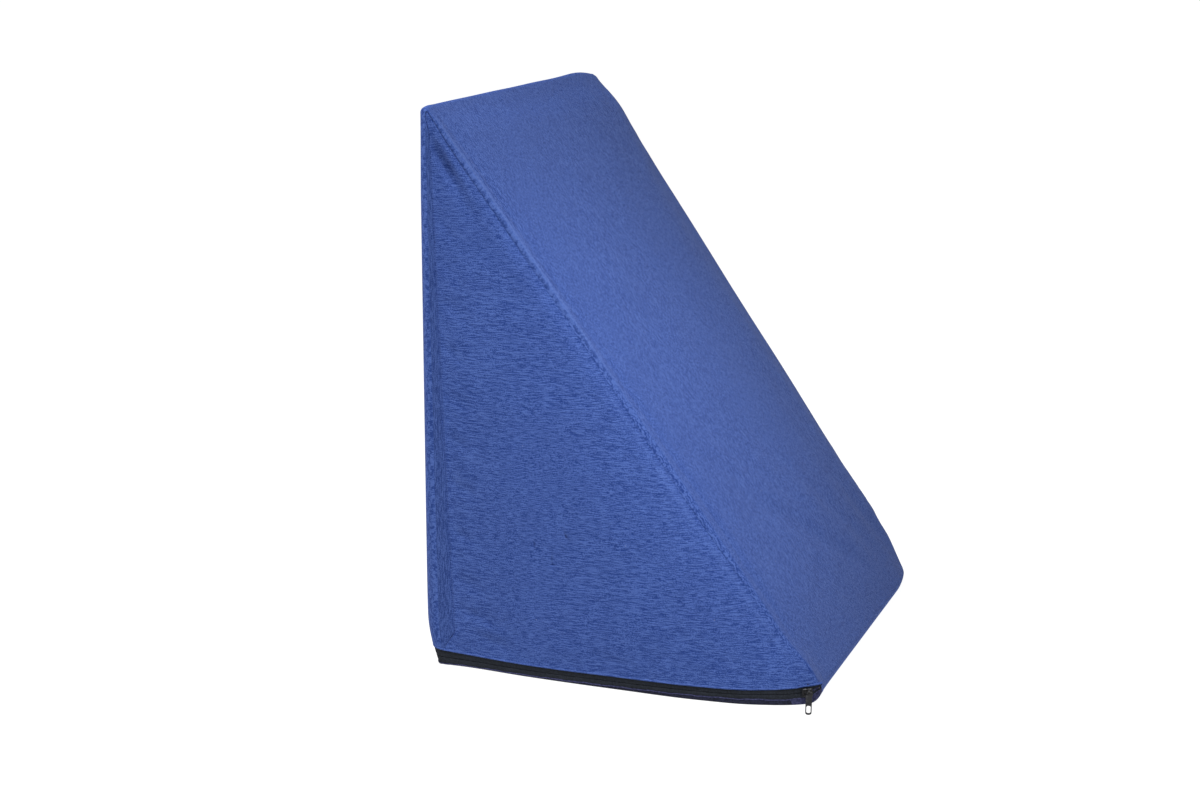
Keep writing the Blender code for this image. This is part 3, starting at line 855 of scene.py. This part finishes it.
def zip_rebate(cover):
    """Sinks the band that the zip's tapes lie in, with dark cloth in it and below it as painted
    shade.
    """
    x, turn = band_path()
    x = np.concatenate([[DEPTH / 2 + REBATE_OVERRUN], x, [x[-1]]])
    turn = np.concatenate([[0.0], turn, [turn[-1] + REBATE_TURN_OVERRUN]])
    low, high = edges_at(x, turn)
    profile = ((0, -CUTTER_REACH), (0, REBATE_DEPTH), (1, REBATE_DEPTH), (1, -CUTTER_REACH))
    cut(cover, strip("rebate", x, turn, low, high, profile))
    slots = np.empty(len(cover.data.polygons), dtype=int)
    centres = np.empty(len(slots) * 3)
    cover.data.polygons.foreach_get("material_index", slots)
    cover.data.polygons.foreach_get("center", centres)
    x, y, z = centres.reshape(-1, 3).T
    fold, hem = band_edges(x)
    # Painted shade: faces in the rebate and below it take the dark base cloth, and below the fold
    # towards the toe the dark fold cloth
    slots[(y < RIM_START) & (z < hem - GAP)] = SLOTS["base"]
    slots[(y < RIM_START) & (z < fold) & (x > SLIDER_PLACE)] = SLOTS["fold"]
    set_slots(cover, slots)


def roll(name, x, turn, height, depth, radius, sides=10):
    """A round fold of cloth along the band."""
    rows = []
    for step in range(sides):
        angle = 2 * math.pi * step / sides
        up, back = radius * math.sin(angle), radius * math.cos(angle)
        rows.append(band_points(x, turn, height + up, depth + back))
    last = (len(x) - 1) * sides
    faces = [face[::-1] for face in tube_faces(len(x), sides)]
    faces.append(tuple(range(sides))[::-1])
    faces.append(tuple(range(last, last + sides)))
    return mesh_object(name, np.stack(rows, axis=1).reshape(-1, 3), faces)


def meeting_height(x, turn):
    """Height at which the two tapes meet, or part beyond the slider."""
    fold, hem = edges_at(x, turn)
    return mixed(fold, hem, MEETING_SHARE)


def opening(x):
    """Share by which the tapes have parted, from the slider to the toe."""
    return smooth((x - SLIDER_PLACE) / (DEPTH / 2 - SLIDER_PLACE))


TAPE_PROFILE = (
    # share of the way from the coil's edge to the sewn edge, depth behind the tape's face
    (0.00, 0.0004),
    (0.00, 0.0010),
    (1.00, 0.0010),
    (1.00, 0.0000),
    (0.62, 0.0000),
    (0.40, 0.0000),
    (0.20, 0.0000),
    (0.06, 0.0001),
)


def tapes():
    x, turn = band_path()
    fold, hem = edges_at(x, turn)
    middle, part = meeting_height(x, turn), opening(x)
    face = TAPE_THICKNESS * 0.5
    low = mixed(middle + GAP / 2, hem - UPPER_AT_TOE, part)
    high = mixed(middle - GAP / 2, fold + LOWER_AT_TOE, part)
    upper_profile = [(share, face + depth) for share, depth in TAPE_PROFILE][::-1]
    upper = strip("upper_tape", x, turn, low, hem - GAP, upper_profile)
    lower_profile = [(share, face + depth) for share, depth in TAPE_PROFILE]
    lower = strip("lower_tape", x, turn, high, fold + GAP, lower_profile)
    return upper, lower


def join(target, *others):
    """Adds meshes to one object, keeping their material slots' numbers."""
    shape = bmesh.new()
    shape.from_mesh(target.data)
    for other in others:
        shape.from_mesh(other.data)
        bpy.data.objects.remove(other, do_unlink=True)
    shape.to_mesh(target.data)
    shape.free()


def coil():
    """Teeth of the parted zip, on the free edge of the upper tape, from the slider to the toe."""
    first = SLIDER_PLACE + SLIDER_LENGTH / 2 + TOOTH_START
    last = DEPTH / 2 - TOOTH_END
    count = int((last - first) / TOOTH_PITCH) + 1
    x = np.linspace(last, first, count)
    turn = np.zeros(count)
    _, hem = edges_at(x, turn)
    low = mixed(meeting_height(x, turn) + GAP / 2, hem - UPPER_AT_TOE, opening(x))
    shape = bmesh.new()
    height = low - GAP - TOOTH_RADIUS
    depth = np.full(count, -TOOTH_RADIUS * TOOTH_SINK)
    form = Matrix.Rotation(TOOTH_LEAN, 4, "Y") @ Matrix.Diagonal(TOOTH_STRETCH)
    radius = TOOTH_RADIUS * TOOTH_SHARE
    for place in band_points(x, turn, height, depth):
        where = Matrix.Translation(place) @ form
        bmesh.ops.create_uvsphere(shape, u_segments=12, v_segments=8, radius=radius, matrix=where)
    mesh = bpy.data.meshes.new("coil_teeth")
    shape.to_mesh(mesh)
    shape.free()
    obj = bpy.data.objects.new("coil_teeth", mesh)
    bpy.context.scene.collection.objects.link(obj)
    return obj


class Nodes:
    """Shorthand for building a material's node tree."""

    def __init__(self, name):
        self.material = bpy.data.materials.new(name)
        self.material.use_nodes = True
        self.tree = self.material.node_tree
        self.shader = self.tree.nodes["Principled BSDF"]

    def new(self, kind, **settings):
        node = self.tree.nodes.new(kind)
        for key, value in settings.items():
            setattr(node, key, value)
        return node

    def link(self, output, socket):
        self.tree.links.new(output, socket)

    def coordinate(self, first, second, third):
        """The object's position along three directions, each with its own scale."""
        source = self.new("ShaderNodeTexCoord").outputs["Object"]
        combine = self.new("ShaderNodeCombineXYZ")
        for index, direction in enumerate((first, second, third)):
            dot = self.new("ShaderNodeVectorMath", operation="DOT_PRODUCT")
            self.link(source, dot.inputs[0])
            dot.inputs[1].default_value = direction
            self.link(dot.outputs["Value"], combine.inputs[index])
        return combine.outputs[0]

    def noise(self, coordinate, detail=2.0, roughness=0.5, distortion=0.0):
        node = self.new("ShaderNodeTexNoise")
        node.inputs["Scale"].default_value = 1.0
        node.inputs["Detail"].default_value = detail
        node.inputs["Roughness"].default_value = roughness
        node.inputs["Distortion"].default_value = distortion
        self.link(coordinate, node.inputs["Vector"])
        return node.outputs["Fac"]

    def first(self, coordinate):
        node = self.new("ShaderNodeSeparateXYZ")
        self.link(coordinate, node.inputs[0])
        return node.outputs[0]

    def specks(self, coordinate, radius):
        """Small round specks, about one for each unit of the coordinate."""
        node = self.new("ShaderNodeTexVoronoi", voronoi_dimensions="2D")
        node.inputs["Scale"].default_value = 1.0
        self.link(coordinate, node.inputs["Vector"])
        return self.spread(node.outputs["Distance"], radius, radius * 0.5)

    def spread(self, value, low, high, start=0.0, end=1.0):
        node = self.new("ShaderNodeMapRange", clamp=True, interpolation_type="SMOOTHSTEP")
        node.inputs["From Min"].default_value = low
        node.inputs["From Max"].default_value = high
        node.inputs["To Min"].default_value = start
        node.inputs["To Max"].default_value = end
        self.link(value, node.inputs["Value"])
        return node.outputs["Result"]

    def math(self, operation, first, second):
        node = self.new("ShaderNodeMath", operation=operation)
        for socket, value in zip(node.inputs, (first, second)):
            if isinstance(value, (int, float)):
                socket.default_value = value
            else:
                self.link(value, socket)
        return node.outputs[0]

    def blend(self, share, first, second):
        node = self.new("ShaderNodeMix", data_type="RGBA")
        self.link(share, node.inputs["Factor"])
        for socket, value in zip((node.inputs[6], node.inputs[7]), (first, second)):
            if isinstance(value, tuple):
                socket.default_value = (*value, 1.0)
            else:
                self.link(value, socket)
        return node.outputs[2]

    def bump(self, height, distance, strength=1.0):
        node = self.new("ShaderNodeBump")
        node.inputs["Strength"].default_value = strength
        node.inputs["Distance"].default_value = distance
        self.link(height, node.inputs["Height"])
        self.link(node.outputs["Normal"], self.shader.inputs["Normal"])


def scaled(direction, count):
    return tuple(value * count for value in direction)


# Colours of the cover's cloth: between its threads, its slubs, the painted highlight on its folds and
# hem, and its lint
CLOTH_DEEP = (0.0162, 0.0433, 0.200)
CLOTH_PALE = (0.063, 0.118, 0.370)
CLOTH_PAINTED_HIGHLIGHT = (0.080, 0.142, 0.410)
LINT = (0.30, 0.34, 0.48)
STITCH_LENGTH = 0.0032

# Colours between the threads, of the threads and where they are worn, for the darker cloths, whose
# darkness is painted shade under the zip and along the floor
BASE_COLOURS = ((0.006, 0.007, 0.016), (0.018, 0.020, 0.044), (0.030, 0.032, 0.055))
FOLD_COLOURS = ((0.020, 0.022, 0.060), (0.045, 0.048, 0.115), (0.060, 0.064, 0.130))
TAPE_COLOURS = ((0.009, 0.011, 0.015), (0.020, 0.024, 0.033), (0.028, 0.032, 0.042))
TOOTH_COLOURS = ((0.030, 0.031, 0.036), (0.070, 0.072, 0.080))
METAL_COLOURS = ((0.012, 0.012, 0.014), (0.030, 0.030, 0.033), (0.070, 0.070, 0.074))

# The cloth's threads: the slubs, their slow unevenness and the fine grain across them
THREADS = (
    # counts per metre along the run, across it and into the cloth, whether it's shortened, weight
    (150, 1750, 90, True, 0.42),
    (50, 1400, 60, True, 0.12),
    (1200, 1750, 500, False, 0.42),
)
CLOUD_WEIGHT = 0.04
TONE_SPREAD = 0.13


def cloth(name, run, across, away, contrast, shortness=1.0, painted_shade=1.0):
    """Slubbed plain weave: the slubs run one way, short and of uneven thickness."""
    nodes = Nodes(name)
    cloud = nodes.noise(nodes.coordinate(scaled(run, 16), scaled(across, 30), scaled(away, 16)), 2.0)
    tone = nodes.math("MULTIPLY", cloud, CLOUD_WEIGHT)
    noises = []
    for along, beside, inwards, shortened, weight in THREADS:
        count = along * shortness if shortened else along
        place = nodes.coordinate(scaled(run, count), scaled(across, beside), scaled(away, inwards))
        noises.append(nodes.noise(place, 0.0))
        tone = nodes.math("ADD", tone, nodes.math("MULTIPLY", noises[-1], weight))
    dash, _, grain = noises
    share = nodes.spread(tone, 0.50 - TONE_SPREAD / contrast, 0.50 + TONE_SPREAD / contrast)
    # This factor darkens all the colours of this copy of the cloth as painted shade
    deep, pale = scaled(CLOTH_DEEP, painted_shade), scaled(CLOTH_PALE, painted_shade)
    colour = nodes.blend(share, deep, pale)
    seam = nodes.new("ShaderNodeAttribute", attribute_name="seam").outputs["Fac"]
    # Painted highlight on the rounded folds beside the near seam and on the hem, in stitch-length
    # dashes
    painted_highlight = nodes.new("ShaderNodeAttribute", attribute_name="painted_highlight").outputs["Fac"]
    height = nodes.coordinate((0, 0, 2 * math.pi / STITCH_LENGTH), (0, 0, 0), (0, 0, 0))
    stitch = nodes.spread(nodes.math("SINE", nodes.first(height), 0.0), -1.0, 1.0, 0.6, 1.0)
    painted_highlight = nodes.math("MULTIPLY", painted_highlight, nodes.math("MULTIPLY", stitch, 0.80))
    # Painted shade on the sewn line's groove and the allowance's raw edge, towards the deep colour
    colour = nodes.blend(nodes.math("MULTIPLY", seam, 0.85), colour, deep)
    colour = nodes.blend(painted_highlight, colour, scaled(CLOTH_PAINTED_HIGHLIGHT, painted_shade))
    lint = nodes.specks(nodes.coordinate(scaled(run, 9), scaled(across, 9), (0, 0, 0)), 0.004)
    colour = nodes.blend(nodes.math("MULTIPLY", lint, 0.6), colour, LINT)
    nodes.link(colour, nodes.shader.inputs["Base Color"])
    nodes.link(nodes.spread(cloud, 0.3, 0.7, 0.84, 0.94), nodes.shader.inputs["Roughness"])
    relief = nodes.math("MULTIPLY", dash, 0.8)
    relief = nodes.math("ADD", relief, nodes.math("MULTIPLY", grain, 0.7))
    nodes.bump(relief, 0.0006, 0.5 * contrast)
    nodes.shader.inputs["Sheen Weight"].default_value = 0.035
    nodes.shader.inputs["Sheen Roughness"].default_value = 0.45
    nodes.shader.inputs["Sheen Tint"].default_value = (0.8, 0.86, 1.0, 1.0)
    nodes.shader.inputs["Specular IOR Level"].default_value = 0.20
    return nodes.material


def dark_cloth(name, colours):
    """The darker cloth of the base panel and of its fold below the zip, dark as painted shade under
    the zip and along the floor.
    """
    deep, pale, worn = colours
    nodes = Nodes(name)
    thread = nodes.noise(nodes.coordinate((700, 0, 0), (0, 700, 0), (0, 0, 700)), 2.0)
    dust = nodes.noise(nodes.coordinate((40, 0, 0), (0, 40, 0), (0, 0, 40)), 3.0)
    colour = nodes.blend(nodes.spread(thread, 0.35, 0.65), deep, pale)
    colour = nodes.blend(nodes.spread(dust, 0.55, 0.75, 0.0, 0.4), colour, worn)
    nodes.link(colour, nodes.shader.inputs["Base Color"])
    nodes.link(nodes.spread(dust, 0.3, 0.7, 0.85, 0.95), nodes.shader.inputs["Roughness"])
    nodes.bump(thread, 0.0005, 0.4)
    nodes.shader.inputs["Specular IOR Level"].default_value = 0.2
    return nodes.material


def tape_cloth():
    """Close ribbed tape, nearly black."""
    deep, pale, worn = TAPE_COLOURS
    nodes = Nodes("zip_tape")
    ribs = nodes.coordinate((1500, 0, 900), (0, 1500, 0), (900, 0, 1500))
    rib = nodes.noise(ribs, 1.0, 0.5)
    wear = nodes.noise(nodes.coordinate((60, 0, 0), (0, 60, 0), (0, 0, 400)), 2.0)
    colour = nodes.blend(nodes.spread(rib, 0.35, 0.65), deep, pale)
    colour = nodes.blend(nodes.spread(wear, 0.5, 0.75, 0.0, 0.5), colour, worn)
    nodes.link(colour, nodes.shader.inputs["Base Color"])
    nodes.link(nodes.spread(wear, 0.3, 0.7, 0.88, 0.98), nodes.shader.inputs["Roughness"])
    nodes.bump(rib, 0.0003, 0.5)
    nodes.shader.inputs["Specular IOR Level"].default_value = 0.2
    return nodes.material


def tooth_plastic():
    nodes = Nodes("zip_teeth")
    mottle = nodes.noise(nodes.coordinate((900, 0, 0), (0, 900, 0), (0, 0, 900)), 2.0)
    colour = nodes.blend(nodes.spread(mottle, 0.4, 0.6), *TOOTH_COLOURS)
    nodes.link(colour, nodes.shader.inputs["Base Color"])
    nodes.link(nodes.spread(mottle, 0.3, 0.7, 0.22, 0.4), nodes.shader.inputs["Roughness"])
    return nodes.material


def dark_metal():
    """Painted slider metal, rubbed paler in spots."""
    deep, pale, bare = METAL_COLOURS
    nodes = Nodes("zip_metal")
    spots = nodes.noise(nodes.coordinate((700, 0, 0), (0, 700, 0), (0, 0, 700)), 3.0, 0.6)
    rub = nodes.noise(nodes.coordinate((180, 0, 0), (0, 180, 0), (0, 0, 260)), 2.0, 0.5)
    colour = nodes.blend(nodes.spread(rub, 0.5, 0.68), deep, pale)
    colour = nodes.blend(nodes.spread(spots, 0.6, 0.7, 0.0, 0.6), colour, bare)
    nodes.link(colour, nodes.shader.inputs["Base Color"])
    nodes.link(nodes.spread(spots, 0.3, 0.7, 0.32, 0.52), nodes.shader.inputs["Roughness"])
    nodes.bump(spots, 0.00012, 0.4)
    nodes.shader.inputs["Metallic"].default_value = 0.3
    return nodes.material


def cover_cloths():
    """The same cloth with its slubs along each panel's own run, in the order of SLOTS; the base and
    the fold get the darker cloth of painted shade, and the strip a copy darkened as painted shade.
    """
    length = math.hypot(DEPTH, HEIGHT)
    slope_run = (-DEPTH / length, 0.0, HEIGHT / length)
    slope_away = (HEIGHT / length, 0.0, DEPTH / length)
    x_way, y_way, z_way = (1.0, 0.0, 0.0), (0.0, 1.0, 0.0), (0.0, 0.0, 1.0)
    return (
        cloth("cloth_end", x_way, z_way, y_way, 1.75),
        cloth("cloth_slope", slope_run, y_way, slope_away, 1.4, 2.2),
        cloth("cloth_back", z_way, y_way, x_way, 1.1, 1.8),
        dark_cloth("cloth_base", BASE_COLOURS),
        dark_cloth("cloth_fold", FOLD_COLOURS),
        # The strip by the back seam is a copy of the cloth darkened to 0.84 as painted shade
        cloth("cloth_strip", z_way, x_way, y_way, 1.4, painted_shade=0.84),
    )


def set_material(obj, *materials):
    obj.data.materials.clear()
    for material in materials:
        obj.data.materials.append(material)


def set_slots(obj, slots):
    obj.data.polygons.foreach_set("material_index", slots)
    obj.data.update()


def smooth_by_angle(obj, degrees):
    obj.data.shade_smooth()
    obj.data.set_sharp_from_angle(angle=math.radians(degrees))


METAL_BEVEL = 0.00018


def dress_metal(node, finish):
    """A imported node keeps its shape, with its corners softened and a better finish."""
    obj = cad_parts[node]
    set_material(obj, finish)
    bevel = obj.modifiers.new("Soft corners", "BEVEL")
    bevel.width = METAL_BEVEL
    bevel.segments = 2
    bevel.limit_method = "ANGLE"
    bevel.angle_limit = math.radians(35)


# Studio: the floor runs far behind the object, so that nothing else shows
FLOOR_REACH = 60.0
FLOOR_GLOW = 0.95
FLOOR_COLOUR = (0.16, 0.16, 0.16, 1.0)
WORLD_STRENGTH = 0.245
TOP_PLACE = (-0.66, -0.80, 2.60)
TOP_AIM = (0.0, -0.10, 0.25)
TOP_SIZE = 0.80
TOP_POWER = 73.0
KEY_PLACE = (0.97, -0.64, 1.25)
KEY_AIM = (0.175, -0.25, 0.40)
KEY_CONE = math.radians(30)
KEY_SOFTNESS = 0.15
KEY_POWER = 63.0


def lamp(name, kind, place, aim, power):
    light = bpy.data.lights.new(name, kind)
    light.energy = power
    obj = bpy.data.objects.new(name, light)
    obj.location = place
    obj.rotation_euler = (Vector(aim) - Vector(place)).to_track_quat("-Z", "Y").to_euler()
    obj.visible_camera = False
    bpy.context.scene.collection.objects.link(obj)
    return light


def studio():
    """A glowing white floor, with a soft lamp overhead and a small one from the right."""
    mesh = bpy.data.meshes.new("floor")
    corners = [(-FLOOR_REACH, -FLOOR_REACH, 0), (FLOOR_REACH, -FLOOR_REACH, 0)]
    corners += [(FLOOR_REACH, FLOOR_REACH, 0), (-FLOOR_REACH, FLOOR_REACH, 0)]
    mesh.from_pydata(corners, [], [(0, 1, 2, 3)])
    floor = bpy.data.objects.new("floor", mesh)
    bpy.context.scene.collection.objects.link(floor)
    nodes = Nodes("floor")
    nodes.shader.inputs["Base Color"].default_value = FLOOR_COLOUR
    nodes.shader.inputs["Roughness"].default_value = 0.6
    nodes.shader.inputs["Emission Color"].default_value = (1.0, 1.0, 1.0, 1.0)
    nodes.shader.inputs["Emission Strength"].default_value = FLOOR_GLOW
    set_material(floor, nodes.material)
    world = bpy.data.worlds.new("studio")
    world.use_nodes = True
    background = world.node_tree.nodes["Background"]
    background.inputs["Color"].default_value = (1.0, 1.0, 1.0, 1.0)
    background.inputs["Strength"].default_value = WORLD_STRENGTH
    bpy.context.scene.world = world
    top = lamp("top", "AREA", TOP_PLACE, TOP_AIM, TOP_POWER)
    top.size = TOP_SIZE
    key = lamp("key", "SPOT", KEY_PLACE, KEY_AIM, KEY_POWER)
    key.spot_size = KEY_CONE
    key.spot_blend = 1.0
    key.shadow_soft_size = KEY_SOFTNESS
    bpy.context.scene.view_settings.view_transform = "Standard"


def camera():
    lens = FOCAL_LENGTH / FRAME_WIDTH * SENSOR_WIDTH
    data = bpy.data.cameras.new("camera")
    data.sensor_width = SENSOR_WIDTH
    data.lens = lens
    obj = bpy.data.objects.new("camera", data)
    bpy.context.scene.collection.objects.link(obj)
    level = math.cos(CAMERA_PITCH)
    ahead = Vector(
        (-math.sin(CAMERA_YAW) * level, math.cos(CAMERA_YAW) * level, -math.sin(CAMERA_PITCH))
    )
    right = Vector((math.cos(CAMERA_YAW), math.sin(CAMERA_YAW), 0.0))
    up = right.cross(ahead)
    tilted_right = right * math.cos(CAMERA_ROLL) + up * math.sin(CAMERA_ROLL)
    tilted_up = up * math.cos(CAMERA_ROLL) - right * math.sin(CAMERA_ROLL)
    turn = Matrix((tilted_right, tilted_up, -ahead)).transposed().to_4x4()
    obj.matrix_world = Matrix.Translation(CAMERA_EYE) @ turn
    bpy.context.scene.camera = obj


def dress_piece(piece, finish, node):
    """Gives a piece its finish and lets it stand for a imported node."""
    set_material(piece, finish)
    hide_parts(node)
    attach(piece, "root")


def dress_cushion():
    rings = all_rings()
    cover = cushion_mesh(rings)
    dress_cover(cover, rings)
    zip_rebate(cover)
    x, turn = band_path()
    fold, hem = edges_at(x, turn)
    fold = fold + FOLD_ROLL * FOLD_LIFT
    for rate, phase, size in FOLD_WAVES:
        fold = fold + size * np.sin(x * rate + phase)
    hem_roll = roll("hem_roll", x, turn, hem + HEM_ROLL * HEM_LIFT, HEM_ROLL * HEM_SINK, HEM_ROLL)
    fold_roll = roll("fold_roll", x, turn, fold, FOLD_ROLL * FOLD_SINK, FOLD_ROLL)
    # The fold roll takes the dark fold cloth, painted shade along the floor
    for piece, slot in ((hem_roll, "end"), (fold_roll, "fold")):
        set_material(piece, *cover.data.materials)
        set_slots(piece, np.full(len(piece.data.polygons), SLOTS[slot]))
    join(cover, hem_roll, fold_roll)
    mark_seams(cover, band_points(x, turn, hem + HEM_ROLL, -HEM_ROLL / 2))
    smooth_by_angle(cover, 50)
    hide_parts("cushion")
    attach(cover, "root")


def dress_zip():
    upper, lower = tapes()
    tape = tape_cloth()
    for piece, node in ((upper, "zip_tape_upper"), (lower, "zip_tape_lower")):
        dress_piece(piece, tape, node)
        smooth_by_angle(piece, 40)
    teeth = coil()
    teeth.data.shade_smooth()
    dress_piece(teeth, tooth_plastic(), "zip_coil")
    metal = dark_metal()
    dress_metal("zip_slider", metal)
    dress_metal("zip_pull", metal)


camera()
studio()
dress_cushion()
dress_zip()
